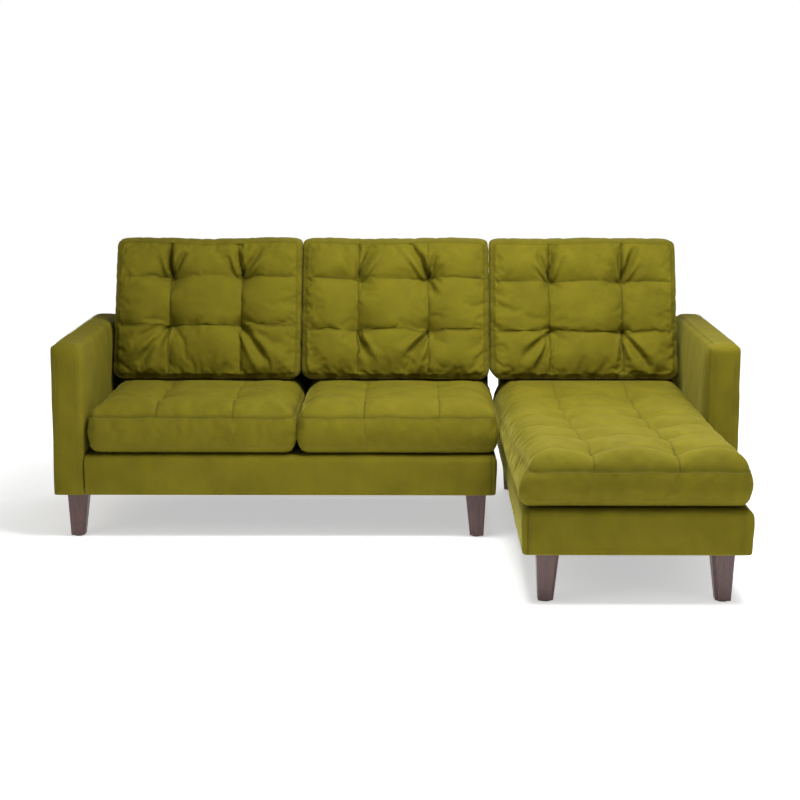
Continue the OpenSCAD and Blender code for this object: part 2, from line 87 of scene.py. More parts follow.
def add_area_light(name, place, target, size, power):
    data = bpy.data.lights.new(name, "AREA")
    data.shape = "RECTANGLE"
    data.size, data.size_y = size
    data.energy = power
    lamp = bpy.data.objects.new(name, data)
    lamp.location = place
    lamp.rotation_euler = (Vector(target) - Vector(place)).to_track_quat("-Z", "Y").to_euler()
    bpy.context.scene.collection.objects.link(lamp)


def add_stage():
    """Wide pale floor, soft lights, and a surround that looks white but lights more softly."""
    mesh = bpy.data.meshes.new("studio_floor")
    corners = ((-1, -1), (1, -1), (1, 1), (-1, 1))
    mesh.from_pydata([(x * FLOOR_HALF, y * FLOOR_HALF, 0.0) for x, y in corners], [], [(0, 1, 2, 3)])
    floor = bpy.data.objects.new("studio_floor", mesh)
    bpy.context.scene.collection.objects.link(floor)
    material = new_material("studio_white")
    set_shader(material, base=(0.90, 0.90, 0.90), roughness=0.7, specular=0.2)
    shader_of(material).inputs["Emission Color"].default_value = (1, 1, 1, 1)
    distance = material.node_tree.nodes.new("ShaderNodeVectorMath")
    distance.operation = "LENGTH"
    link(material, coordinates(material), distance.inputs[0])
    glow = add_node(material, "ShaderNodeMapRange")
    for socket, value in zip(("From Min", "From Max", "To Min", "To Max"), (*GLOW_REACH, *FLOOR_GLOW)):
        glow.inputs[socket].default_value = value
    link(material, distance.outputs["Value"], glow.inputs["Value"])
    link(material, glow.outputs["Result"], shader_of(material).inputs["Emission Strength"])
    mesh.materials.append(material)
    world = bpy.data.worlds.new("studio")
    world.use_nodes = True
    nodes, links = world.node_tree.nodes, world.node_tree.links
    nodes["Background"].inputs["Color"].default_value = (1, 1, 1, 1)
    ray = nodes.new("ShaderNodeLightPath")
    strength = nodes.new("ShaderNodeMapRange")
    strength.inputs["To Min"].default_value = WORLD_STRENGTH
    strength.inputs["To Max"].default_value = 1.0
    links.new(ray.outputs["Is Camera Ray"], strength.inputs["Value"])
    links.new(strength.outputs["Result"], nodes["Background"].inputs["Strength"])
    bpy.context.scene.world = world
    bpy.context.scene.view_settings.view_transform = "Standard"
    for name, light in LIGHTS.items():
        add_area_light(name, *light)


# ---------- materials ----------


def new_material(name):
    material = bpy.data.materials.new(name)
    material.use_nodes = True
    return material


def shader_of(material):
    return material.node_tree.nodes["Principled BSDF"]


def set_shader(material, base=None, roughness=0.5, metallic=0.0, specular=0.5, sheen=0.0,
               sheen_roughness=0.4, sheen_tint=(1, 1, 1), coat=0.0, coat_roughness=0.1):
    """Numbers that are the same all over the surface, set on the shader's own sockets."""
    inputs = shader_of(material).inputs
    if base:
        inputs["Base Color"].default_value = (*base, 1)
    inputs["Roughness"].default_value = roughness
    inputs["Metallic"].default_value = metallic
    inputs["Specular IOR Level"].default_value = specular
    inputs["Sheen Weight"].default_value = sheen
    inputs["Sheen Roughness"].default_value = sheen_roughness
    inputs["Sheen Tint"].default_value = (*sheen_tint, 1)
    inputs["Coat Weight"].default_value = coat
    inputs["Coat Roughness"].default_value = coat_roughness


def add_node(material, kind, **sockets):
    node = material.node_tree.nodes.new(kind)
    for name, value in sockets.items():
        node.inputs[name.replace("_", " ")].default_value = value
    return node


def link(material, start, end):
    material.node_tree.links.new(start, end)


def coordinates(material, stretch=(1, 1, 1)):
    """Object coordinates, stretched: every piece's object sits at the origin, so these are metres."""
    source = add_node(material, "ShaderNodeTexCoord")
    mapping = add_node(material, "ShaderNodeMapping", Scale=stretch)
    link(material, source.outputs["Object"], mapping.inputs["Vector"])
    return mapping.outputs["Vector"]


def noise_value(material, vector, scale, detail=3.0, rough=0.5, distortion=0.0):
    node = add_node(material, "ShaderNodeTexNoise", Scale=scale, Detail=detail,
                    Roughness=rough, Distortion=distortion)
    link(material, vector, node.inputs["Vector"])
    return node.outputs["Fac"]


def colour_ramp(material, value, stops):
    """Colours along a value; stops are (position, colour)."""
    node = add_node(material, "ShaderNodeValToRGB")
    link(material, value, node.inputs["Fac"])
    elements = node.color_ramp.elements
    while len(elements) < len(stops):
        elements.new(0.5)
    for element, (position, colour) in zip(elements, stops):
        element.position = position
        element.color = (*colour, 1)
    return node.outputs["Color"]


def mix_colour(material, mode, factor, first, second):
    node = material.node_tree.nodes.new("ShaderNodeMix")
    node.data_type = "RGBA"
    node.blend_type = mode
    node.inputs[0].default_value = factor
    link(material, first, node.inputs[6])
    link(material, second, node.inputs[7])
    return node.outputs[2]


def map_range(material, value, low, high):
    node = add_node(material, "ShaderNodeMapRange")
    node.inputs["To Min"].default_value = low
    node.inputs["To Max"].default_value = high
    link(material, value, node.inputs["Value"])
    return node.outputs["Result"]


def add_bump(material, heights):
    """Bumps stacked on the shader's normal; heights are (value, strength, distance)."""
    normal = None
    for value, strength, distance in heights:
        node = add_node(material, "ShaderNodeBump", Strength=strength, Distance=distance)
        link(material, value, node.inputs["Height"])
        if normal:
            link(material, normal, node.inputs["Normal"])
        normal = node.outputs["Normal"]
    link(material, normal, shader_of(material).inputs["Normal"])


VELVET_LIGHT = (0.172, 0.146, 0.0070)
VELVET_MID = (0.150, 0.127, 0.0052)
VELVET_DARK = (0.128, 0.107, 0.0040)
# colour the velvet is darkened towards in the hollows along its seams: painted shade
SEAM_PAINTED_SHADE = (0.26, 0.25, 0.20)


def velvet_material(name):
    """Short pile: brushed patches that lie lighter or darker, a fine nap and a soft sheen, and painted
    shade that darkens the colour along the seams.
    """
    material = new_material(name)
    place = coordinates(material)
    patches = noise_value(material, place, 8.0, detail=5.0, rough=0.6, distortion=0.35)
    streaks = noise_value(material, coordinates(material, (1.0, 1.0, 0.35)), 26.0, detail=3.0)
    colour = colour_ramp(material, patches,
                         [(0.28, VELVET_DARK), (0.50, VELVET_MID), (0.74, VELVET_LIGHT)])
    shade = colour_ramp(material, streaks, [(0.30, (0.90, 0.90, 0.90)), (0.70, (1.0, 1.0, 1.0))])
    fibre = noise_value(material, place, 850.0, detail=2.0)
    speckle = colour_ramp(material, fibre, [(0.35, (0.84, 0.84, 0.82)), (0.65, (1.0, 1.0, 1.0))])
    # painted shade: the seam attribute darkens the colour in the hollows along the seams
    seam = add_node(material, "ShaderNodeAttribute")
    seam.attribute_name = "seam"
    painted_seam_shade = colour_ramp(material, seam.outputs["Fac"], [(0.0, (1.0, 1.0, 1.0)), (1.0, SEAM_PAINTED_SHADE)])
    for layer in (shade, speckle, painted_seam_shade):
        colour = mix_colour(material, "MULTIPLY", 1.0, colour, layer)
    link(material, colour, shader_of(material).inputs["Base Color"])
    set_shader(material, roughness=0.9, specular=0.15, sheen=0.34, sheen_roughness=0.24,
               sheen_tint=(0.88, 0.80, 0.15))
    link(material, map_range(material, streaks, 0.82, 0.96), shader_of(material).inputs["Roughness"])
    add_bump(material, [(patches, 0.25, 0.004), (fibre, 0.35, 0.0006)])
    return material


def thread_material():
    material = new_material("olive_thread")
    twist = add_node(material, "ShaderNodeTexWave", Scale=600.0, Distortion=2.0)
    link(material, coordinates(material), twist.inputs["Vector"])
    colour = colour_ramp(material, twist.outputs["Fac"],
                         [(0.0, (0.10, 0.088, 0.010)), (1.0, (0.21, 0.185, 0.030))])
    link(material, colour, shader_of(material).inputs["Base Color"])
    set_shader(material, roughness=0.6, specular=0.35)
    add_bump(material, [(twist.outputs["Fac"], 0.4, 0.0003)])
    return material


def wood_material(name, dark, light, along, roughness, coat, grain_scale=14.0):
    """Grain that runs along one axis, with fine pores and slow changes of tone."""
    material = new_material(name)
    stretch = [10.0, 10.0, 10.0]
    stretch[along] = 0.9
    place = coordinates(material, tuple(stretch))
    slow = noise_value(material, coordinates(material), 9.0, detail=2.0)
    grain = noise_value(material, place, grain_scale, detail=6.0, rough=0.62, distortion=0.6)
    pores = noise_value(material, place, grain_scale * 9, detail=2.0)
    colour = colour_ramp(material, grain, [(0.33, dark), (0.68, light)])
    tone = colour_ramp(material, slow, [(0.3, (0.80, 0.78, 0.78)), (0.7, (1.0, 1.0, 1.0))])
    pore_shade = colour_ramp(material, pores, [(0.32, (0.72, 0.70, 0.70)), (0.46, (1.0, 1.0, 1.0))])
    colour = mix_colour(material, "MULTIPLY", 1.0, colour, tone)
    colour = mix_colour(material, "MULTIPLY", 1.0, colour, pore_shade)
    link(material, colour, shader_of(material).inputs["Base Color"])
    set_shader(material, roughness=roughness, coat=coat, coat_roughness=0.22)
    link(material, map_range(material, grain, roughness - 0.08, roughness + 0.1),
         shader_of(material).inputs["Roughness"])
    add_bump(material, [(grain, 0.12, 0.0008), (pores, 0.1, 0.0003)])
    return material


def metal_material(name, base, roughness, metallic=1.0, brushed=220.0):
    material = new_material(name)
    scratches = noise_value(material, coordinates(material, (1.0, 0.06, 1.0)), brushed, detail=3.0)
    colour = colour_ramp(material, scratches, [
        (0.3, tuple(0.82 * c for c in base)), (0.7, base)])
    link(material, colour, shader_of(material).inputs["Base Color"])
    set_shader(material, roughness=roughness, metallic=metallic)
    link(material, map_range(material, scratches, roughness - 0.08, roughness + 0.12),
         shader_of(material).inputs["Roughness"])
    add_bump(material, [(scratches, 0.12, 0.0003)])
    return material


def cloth_material(name, dark, light, thread, roughness=0.92, sheen=0.1):
    """Plain weave: two crossing sets of threads, with slightly uneven colour."""
    material = new_material(name)
    place = coordinates(material)
    uneven = noise_value(material, place, 18.0, detail=3.0)
    fuzz = noise_value(material, place, thread, detail=2.0)
    bands = []
    for direction in ("X", "Y"):
        wave = add_node(material, "ShaderNodeTexWave", Scale=thread, Distortion=0.6)
        wave.bands_direction = direction
        link(material, place, wave.inputs["Vector"])
        bands.append(wave.outputs["Fac"])
    colour = colour_ramp(material, uneven, [(0.3, dark), (0.7, light)])
    weave = colour_ramp(material, fuzz, [(0.3, (0.75, 0.75, 0.75)), (0.7, (1.0, 1.0, 1.0))])
    link(material, mix_colour(material, "MULTIPLY", 1.0, colour, weave),
         shader_of(material).inputs["Base Color"])
    set_shader(material, roughness=roughness, sheen=sheen)
    add_bump(material, [(bands[0], 0.25, 0.0005), (bands[1], 0.25, 0.0005), (fuzz, 0.2, 0.0004)])
    return material


def foam_material(name, dark, light, cell):
    material = new_material(name)
    cells = add_node(material, "ShaderNodeTexVoronoi", Scale=cell)
    link(material, coordinates(material), cells.inputs["Vector"])
    colour = colour_ramp(material, cells.outputs["Distance"], [(0.1, dark), (0.6, light)])
    link(material, colour, shader_of(material).inputs["Base Color"])
    set_shader(material, roughness=0.95)
    add_bump(material, [(cells.outputs["Distance"], 0.4, 0.0008)])
    return material


def make_materials():
    return {
        "velvet": velvet_material("velvet"),
        "thread": thread_material(),
        "leg_wood": wood_material("leg_wood", (0.042, 0.014, 0.012), (0.100, 0.035, 0.030), 2,
                                  0.42, 0.20),
        "softwood": wood_material("softwood", (0.50, 0.33, 0.17), (0.74, 0.55, 0.34), 0, 0.7, 0.0,
                                  grain_scale=6.0),
        "spring_steel": metal_material("spring_steel", (0.42, 0.42, 0.44), 0.34),
        "zinc_steel": metal_material("zinc_steel", (0.66, 0.67, 0.70), 0.3),
        "black_steel": metal_material("black_steel", (0.035, 0.035, 0.04), 0.42, metallic=0.0,
                                      brushed=60.0),
        "felt": cloth_material("felt", (0.30, 0.30, 0.28), (0.40, 0.40, 0.38), 260.0),
        "cambric": cloth_material("cambric", (0.014, 0.014, 0.016), (0.03, 0.03, 0.033), 420.0),
        "webbing": cloth_material("webbing", (0.03, 0.03, 0.035), (0.07, 0.07, 0.075), 300.0),
        "foam": foam_material("foam", (0.70, 0.62, 0.36), (0.88, 0.82, 0.56), 420.0),
        "fibre": foam_material("fibre", (0.78, 0.78, 0.75), (0.93, 0.93, 0.9), 160.0),
        "glide_plastic": metal_material("glide_plastic", (0.025, 0.02, 0.018), 0.5, metallic=0.0,
                                        brushed=90.0),
    }


# ---------- mesh helpers ----------


def graded(start, end, pitch, marks=(), steps=(3 * MM, 8 * MM)):
    """Lines from start to end about a pitch apart, closer beside each mark and at both ends."""
    fixed = {round(start, 6), round(end, 6)}
    for mark in (start, end, *marks):
        fixed.add(round(mark, 6))
        for step in steps:
            for line in (mark - step, mark + step):
                if start < line < end:
                    fixed.add(round(line, 6))
    fixed = sorted(fixed)
    lines = [fixed[0]]
    for a, b in zip(fixed, fixed[1:]):
        count = max(1, round((b - a) / pitch))
        lines += [a + (b - a) * i / count for i in range(1, count + 1)]
    return np.array(lines)


def lattice(xs, ys, zs):
    """Surface of a box cut along the given lines: the lines' values at each vertex, and quads."""
    counts = (len(xs), len(ys), len(zs))
    index = {}
    faces = []
    for axis in range(3):
        a, b = (axis + 1) % 3, (axis + 2) % 3
        for end in (0, counts[axis] - 1):
            for i in range(counts[a] - 1):
                for j in range(counts[b] - 1):
                    quad = []
                    for di, dj in ((0, 0), (1, 0), (1, 1), (0, 1)):
                        key = [0, 0, 0]
                        key[axis], key[a], key[b] = end, i + di, j + dj
                        quad.append(index.setdefault(tuple(key), len(index)))
                    faces.append(quad if end else quad[::-1])
    keys = np.array(list(index))
    return np.stack([xs[keys[:, 0]], ys[keys[:, 1]], zs[keys[:, 2]]], axis=1), faces


def add_piece(name, points, faces, material):
    mesh = bpy.data.meshes.new(name)
    mesh.from_pydata([tuple(p) for p in np.asarray(points, float)], [], [tuple(f) for f in faces])
    mesh.polygons.foreach_set("use_smooth", [True] * len(mesh.polygons))
    mesh.materials.append(material)
    mesh.validate()
    piece = bpy.data.objects.new(name, mesh)
    bpy.context.scene.collection.objects.link(piece)
    return piece


def points_of(piece):
    values = np.empty(len(piece.data.vertices) * 3)
    piece.data.vertices.foreach_get("co", values)
    return values.reshape(-1, 3)


def set_points(piece, points):
    piece.data.vertices.foreach_set("co", np.asarray(points, float).ravel())
    piece.data.update()


def normals_of(piece):
    values = np.empty(len(piece.data.vertices) * 3)
    piece.data.vertices.foreach_get("normal", values)
    return values.reshape(-1, 3)


def paint_seam_shade(piece, values):
    """Stores how close each vertex is to a seam, 0 to 1, for the velvet to darken there as painted
    shade.
    """
    layer = piece.data.attributes.new("seam", "FLOAT", "POINT")
    layer.data.foreach_set("value", np.clip(values, 0, 1).astype(np.float32))


def bake_modifiers(piece):
    """Turns the piece's modifiers into its mesh, so that none is left."""
    evaluated = piece.evaluated_get(bpy.context.evaluated_depsgraph_get())
    mesh = bpy.data.meshes.new_from_object(evaluated)
    piece.modifiers.clear()
    old = piece.data
    piece.data = mesh
    bpy.data.meshes.remove(old)
    mesh.name = piece.name
    mesh.polygons.foreach_set("use_smooth", [True] * len(mesh.polygons))


def subdivide(piece, levels=1):
    modifier = piece.modifiers.new("smooth", "SUBSURF")
    modifier.levels = levels
    modifier.render_levels = levels
    bake_modifiers(piece)


def soft_noise(points, scale, seed, octaves=2):
    """Smooth noise from -1 to 1 at each point; scale is the size of its waves in metres."""
    shift = Vector((seed * 7.31, seed * 3.17, seed * 5.77))
    return np.array([noise.fractal(Vector(p) / scale + shift, 0.6, 2.0, octaves) for p in points])


def rise(distance, reach):
    """Quarter of an ellipse: 0 at the edge, 1 from reach inwards."""
    t = np.clip(distance / reach, 0, 1)
    return np.sqrt(np.clip(1 - (1 - t) ** 2, 0, 1))


def round_corners(x, y, half_x, half_y, radius):
    """Moves points of a rectangle so that its corners turn round a radius."""
    qx = np.clip((np.abs(x) - (half_x - radius)) / radius, 0, 1)
    qy = np.clip((np.abs(y) - (half_y - radius)) / radius, 0, 1)
    px = np.where(qx > 0, half_x - radius + radius * qx * np.sqrt(1 - qy * qy / 2), np.abs(x))
    py = np.where(qy > 0, half_y - radius + radius * qy * np.sqrt(1 - qx * qx / 2), np.abs(y))
    return np.sign(x) * px, np.sign(y) * py


def edge_distance(x, y, half_x, half_y, radius):
    """Distance in from the edge of a rectangle with round corners."""
    qx = np.abs(x) - (half_x - radius)
    qy = np.abs(y) - (half_y - radius)
    outside = np.hypot(np.maximum(qx, 0), np.maximum(qy, 0))
    return -(outside + np.minimum(np.maximum(qx, qy), 0) - radius)


def inflate(piece, pins, pressure, frames, cap, excess):
    """Blows the piece up as sewn cloth: pins hold the seams, excess is spare cloth between them."""
    start = points_of(piece)
    group = piece.vertex_groups.new(name="pins")
    for weight in np.unique(pins):
        if weight > 0:
            members = np.nonzero(pins == weight)[0].tolist()
            group.add(members, float(weight), "REPLACE")
    cloth = piece.modifiers.new("cloth", "CLOTH")
    settings = cloth.settings
    settings.quality = 4
    settings.mass = 0.3
    settings.tension_stiffness = 18
    settings.compression_stiffness = 18
    settings.shear_stiffness = 6
    settings.bending_stiffness = 0.15
    settings.air_damping = 2
    settings.vertex_group_mass = "pins"
    settings.pin_stiffness = 1
    settings.use_pressure = True
    settings.uniform_pressure_force = pressure
    settings.shrink_min = -excess
    settings.effector_weights.gravity = 0
    cloth.collision_settings.use_collision = False
    scene = bpy.context.scene
    cloth.point_cache.frame_start = 1
    cloth.point_cache.frame_end = frames
    for step in range(1, frames + 1):
        scene.frame_set(step)
    evaluated = piece.evaluated_get(bpy.context.evaluated_depsgraph_get())
    values = np.empty(len(start) * 3)
    evaluated.data.vertices.foreach_get("co", values)
    moved = values.reshape(-1, 3) - start
    length = np.linalg.norm(moved, axis=1)
    moved *= (np.minimum(length, cap) / np.maximum(length, 1e-9))[:, None]
    piece.modifiers.clear()
    piece.vertex_groups.clear()
    scene.frame_set(1)
    set_points(piece, start + moved)


def fold(x, z, start, angle, length, depth, width):
    """A crease that runs from start at an angle, with a raised lip on both sides."""
    along = np.array((math.cos(angle), math.sin(angle)))
    s = (x - start[0]) * along[0] + (z - start[1]) * along[1]
    t = -(x - start[0]) * along[1] + (z - start[1]) * along[0]
    spread = width * (0.6 + 1.2 * np.clip(s / length, 0, 1))
    reach = np.where((s > 0) & (s < length), np.sin(math.pi * np.clip(s / length, 0, 1) ** 0.6), 0)
    return depth * reach * (0.55 * np.exp(-((np.abs(t) - 2.1 * spread) / spread) ** 2)
                            - np.exp(-(t / spread) ** 2))


# ---------- places from the frame ----------

ARM_LO, ARM_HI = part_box("left_arm_cover")
PILLOW_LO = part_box("middle_back_cushion_cover")[0]
Y_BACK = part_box("two_seater_outside_back")[1].y
ARM_TOP = ARM_HI.z
RAKE = math.tan(math.radians(12))
BACK_TOP_T = 96 * MM


def rake_y(z):
    """Front of the inside back at a height."""
    return Y_BACK - BACK_TOP_T - (ARM_TOP - z) * RAKE


# ---------- stitching ----------


def resample(line, pitch):
    """Even points along a line of points."""
    steps = np.linalg.norm(np.diff(line, axis=0), axis=1)
    run = np.concatenate([[0], np.cumsum(steps)])
    count = max(2, int(run[-1] / pitch))
    at = np.linspace(0, run[-1], count)
    return np.stack([np.interp(at, run, line[:, k]) for k in range(3)], axis=1)


def stitches(name, seams, body, pitch=7 * MM, length=4.6 * MM, radius=0.75 * MM):
    """Thread stitches along seams; each seam is (points, normals)."""
    sides = 6
    verts, faces = [], []
    for points, normals in seams:
        at = resample(points, pitch)
        facing = np.stack([np.interp(np.linspace(0, 1, len(at)), np.linspace(0, 1, len(points)),
                                     normals[:, k]) for k in range(3)], axis=1)
        for i in range(len(at) - 1):
            along = Vector(at[i + 1] - at[i])
            if along.length < 1e-6:
                continue
            along.normalize()
            up = Vector(facing[i]).normalized()
            across = along.cross(up).normalized()
            centre = Vector((at[i] + at[i + 1]) / 2)
            rings = ((-0.5, 0.45, -0.5), (-0.3, 1.0, 0.25), (0.3, 1.0, 0.25), (0.5, 0.45, -0.5))
            first = len(verts)
            for place, width, height in rings:
                middle = centre + along * (place * length) + up * (height * radius)
                for k in range(sides):
                    angle = 2 * math.pi * k / sides
                    verts.append(middle + width * radius * (math.cos(angle) * across
                                                            + math.sin(angle) * up))
            for ring in range(len(rings) - 1):
                for k in range(sides):
                    a = first + ring * sides + k
                    b = first + ring * sides + (k + 1) % sides
                    faces.append((a, a + sides, b + sides, b))
            faces.append(tuple(first + k for k in range(sides)))
            last = first + (len(rings) - 1) * sides
            faces.append(tuple(last + k for k in reversed(range(sides))))
    piece = add_piece(name, verts, faces, materials["thread"])
    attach(piece, body)
    return piece


def lattice_row(points, normals, test, order):
    """Points and normals of the lattice vertices that pass a test, in the order of one value."""
    chosen = np.nonzero(test)[0]
    chosen = chosen[np.argsort(order[chosen])]
    return points[chosen], normals[chosen]


def straight_seam(points, facing):
    """A seam of thread along points that all face one way."""
    return np.array(points), np.tile(facing, (len(points), 1))


def border_stitching(piece, points, body, level, levels, edges):
    """Thread beside both border seams; edges are (on the edge, which side, order along it)."""
    normals = normals_of(piece)
    seams = [lattice_row(points, normals, on_edge & (np.sign(side) == way) & (level == at), order)
             for at in levels for way in (-1, 1) for on_edge, side, order in edges]
    stitches(piece.name + "_stitching", seams, body)


def settle(piece, body, nodes):
    """Puts a padded piece on its body, in the place of its CAD nodes."""
    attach(piece, body)
    if nodes:
        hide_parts(*nodes)


def add_filling(name, cover, inner, node, body, slot, axis, push):
    """The foam or fibre inside a cover, from points of the cover pushed inwards along the thickness."""
    margin, tightening = 0.05, 0.66
    for side in {0, 1, 2} - {axis}:
        middle = (inner[:, side].min() + inner[:, side].max()) / 2
        reach = inner[:, side].max() - middle - margin
        away = np.abs(inner[:, side] - middle)
        away = np.where(away > reach, reach + (away - reach) * tightening, away)
        inner[:, side] = middle + np.sign(inner[:, side] - middle) * away
    inner[:, axis] += push
    faces = [tuple(face.vertices) for face in cover.data.polygons]
    settle(add_piece(name, inner, faces, materials[slot]), body, [node])


# ---------- seat cushions ----------

SEAT_SEAM_BOTTOM = 0.020    # height of the lower border seam over the underside
SEAT_SHOULDER = 0.075       # how far the top takes to level off
SEAT_CORNER = 0.022         # radius of the corners in plan
SEAT_BULGE = 0.009          # how far the border swells between its seams
LEAN_START = -0.28          # where the chaise cushion's top starts to lean sideways
LEAN_FADE = 0.20            # how far from its right edge the lean dies away


def seat_cushion(name, node, body, seams_x, seams_y, sag, tufts, seed, seam_top, crown=0.004,
                 valley=0.0045, skew=0.0, lean=0.0):
    """Boxed cushion: crowned top with stitched lines and dips, bulging border, flat underside."""
    lo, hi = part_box(node)
    half = Vector(((hi.x - lo.x) / 2, (hi.y - lo.y) / 2))
    middle = Vector(((hi.x + lo.x) / 2, (hi.y + lo.y) / 2))
    local_x = [x - middle.x for x in seams_x]
    local_y = [y - middle.y for y in seams_y]
    height = hi.z - lo.z
    pitch = 0.0105
    xs = graded(-half.x, half.x, pitch, local_x)
    ys = graded(-half.y, half.y, pitch, local_y)
    zs = graded(0, 1, 0.11, (), (0.05,))
    cut, faces = lattice(xs, ys, zs)
    x, y, w = cut.T
    on_top, on_bottom = w == 1, w == 0
    edge_x = np.abs(np.abs(x) - half.x) < 1e-6
    edge_y = np.abs(np.abs(y) - half.y) < 1e-6
    rim = edge_x | edge_y
    inner_x, inner_y = half.x - SEAT_BULGE, half.y - SEAT_BULGE
    px, py = round_corners(x * inner_x / half.x, y * inner_y / half.y, inner_x, inner_y, SEAT_CORNER)
    d = np.maximum(edge_distance(px, py, inner_x, inner_y, SEAT_CORNER), 0)
    # border
    bulge = SEAT_BULGE * 4 * w * (1 - w) + 0.002
    out_x = np.where(edge_x | (np.abs(px) > inner_x - SEAT_CORNER), np.sign(px), 0)
    out_y = np.where(edge_y | (np.abs(py) > inner_y - SEAT_CORNER), np.sign(py), 0)
    nx = np.clip((np.abs(px) - (inner_x - SEAT_CORNER)) / SEAT_CORNER, 0, 1) * out_x
    ny = np.clip((np.abs(py) - (inner_y - SEAT_CORNER)) / SEAT_CORNER, 0, 1) * out_y
    size = np.maximum(np.hypot(nx, ny), 1e-6)
    px = px + np.where(rim, nx / size * bulge, 0)
    py = py + np.where(rim, ny / size * bulge, 0)
    top = seam_top + (height - seam_top) * rise(d, SEAT_SHOULDER)
    across = 1 - (px / inner_x) ** 2
    lengthways = 1 - (py / inner_y) ** 2
    top += crown * rise(d, 0.22) * np.clip(across, 0, 1) ** 0.5
    top -= sag * np.clip(lengthways, 0, 1) * rise(d, 0.25)
    line_x = np.min([np.abs(px - s) for s in local_x], axis=0)
    line_y = np.min([np.abs(py - s) for s in local_y], axis=0) if local_y else np.full(len(x), 9.0)
    top -= 0.0055 * np.exp(-line_x / 0.010) * rise(d, 0.02)
    top -= valley * np.exp(-line_y / 0.014) * rise(d, 0.10)
    for tx, ty, depth in tufts:
        r = np.hypot(px - (tx - middle.x), py - (ty - middle.y))
        top -= depth * np.exp(-(r / 0.042) ** 1.25) * rise(d, 0.05)
    z = np.where(on_top, top, SEAT_SEAM_BOTTOM + w * (seam_top - SEAT_SEAM_BOTTOM))
    under = SEAT_SEAM_BOTTOM * (1 - rise(d, 0.035))
    z = np.where(on_bottom, under, z)
    points = np.stack([px + middle.x, py + middle.y, z + lo.z], axis=1)
    points[:, 0] += skew * np.clip((ARM_LO.y - points[:, 1]) / (ARM_LO.y - lo.y + 0.001), 0, 1)
    nose = np.clip((LEAN_START - points[:, 1]) / (LEAN_START - lo.y), 0, 1) ** 1.3 if lean else 0
    points[:, 0] += lean * nose * w ** 1.5 * np.clip((hi.x - points[:, 0]) / LEAN_FADE, 0, 1)
    wobble = soft_noise(points, 0.11, seed, 2)
    points[:, 2] += np.where(on_bottom, 0, wobble * 0.0035 * np.clip(z / seam_top, 0, 1))
    ripple = soft_noise(points, 0.035, seed + 3, 2)
    near = np.exp(-d / 0.03) * ~on_bottom
    points[:, 2] += ripple * 0.0022 * near * on_top
    points[:, 0] += ripple * 0.0016 * (nx / size) * rim
    points[:, 1] += ripple * 0.0016 * (ny / size) * rim
    piece = add_piece(name, points, faces, materials["velvet"])
    # painted shade along the stitched lines and the top rim, stronger on the front roll, for the velvet
    # to darken
    on_roll = np.exp(-np.maximum(py + inner_y - 0.06, 0) / 0.05)
    shade = np.exp(-(line_x / 0.0022) ** 2) * (0.38 + 0.3 * on_roll)
    shade = np.maximum(shade, 0.30 * np.exp(-(line_y / 0.0022) ** 2) * rise(d, 0.05)) * on_top
    paint_seam_shade(piece, np.maximum(shade, 0.42 * (rim & on_top)))
    pins = np.zeros(len(points))
    pins[rim & (on_top | on_bottom)] = 1
    pins[on_bottom] = 1
    pins[on_top & ((line_x < 1e-4) | (line_y < 1e-4))] = 0.75
    for tx, ty, _ in tufts:
        r = np.hypot(cut[:, 0] - (tx - middle.x), cut[:, 1] - (ty - middle.y))
        pins[on_top & (r < 0.006)] = 1
    inflate(piece, pins, 3.2, 16, 0.014, 0.014)
    points = points_of(piece)
    under_pillow = np.clip((points[:, 1] - PILLOW_LO.y + 0.03) / 0.03, 0, 1)
    ceiling = hi.z + 0.008 - 0.014 * under_pillow
    points[:, 2] = np.clip(points[:, 2], lo.z, ceiling)
    set_points(piece, points)
    border_stitching(piece, points, body, w, (zs[1], zs[-2]), ((edge_y, y, x), (edge_x, x, y)))
    add_filling(node.replace("cover", "core_foam"), piece, points_of(piece),
                node.replace("cover", "core"), body, "foam", 2, np.where(w > 0.5, -16 * MM, 8 * MM))
    subdivide(piece)
    settle(piece, body, [node])


def add_seat_cushions():
    """Two cushions on the two-seater and the long one on the chaise."""
    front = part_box("left_seat_cushion_cover")[0].y
    for name, body, seams_x, seed in (
            ("left_seat_cushion_cover", "left_seat_cushion", (-0.765, -0.520), 1),
            ("middle_seat_cushion_cover", "middle_seat_cushion", (-0.098, 0.142), 2)):
        seams_y = (front + 0.17, front + 0.40)
        tufts = [(x, y, 0.008) for x in seams_x for y in seams_y]
        seat_cushion(name + "_velvet", name, body, seams_x, seams_y, 0.004, tufts, seed, 0.120)
    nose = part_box("chaise_seat_cushion_cover")[0].y
    seams_x = (0.530, 0.768)
    seams_y = tuple(nose + 0.072 + 0.180 * row for row in range(6))
    tufts = [(x, y, 0.022 - 0.010 * (y > 0.1)) for x in seams_x for y in seams_y]
    seat_cushion("chaise_seat_cushion_cover_velvet", "chaise_seat_cushion_cover",
                 "chaise_seat_cushion", seams_x, seams_y, 0.012, tufts, 3, 0.106,
                 crown=0.008, valley=0.009, skew=0.009, lean=0.026)


# ---------- back cushions ----------

PILLOW_RADIUS = 0.020       # of the corners, inside the bulge of the border
PILLOW_BULGE = 0.018
PILLOW_FOOT_T = 0.222       # thickness at the foot and at the crest
PILLOW_CREST_T = 0.128
PILLOW_BORDER = 0.70        # shares of the thickness: the border, and the swelling behind it
PILLOW_REAR = 0.20
FOLD_GAIN = 2.2
PILLOW_PROUD = 1.0 * MM     # how far a cover may reach past its box towards its neighbour


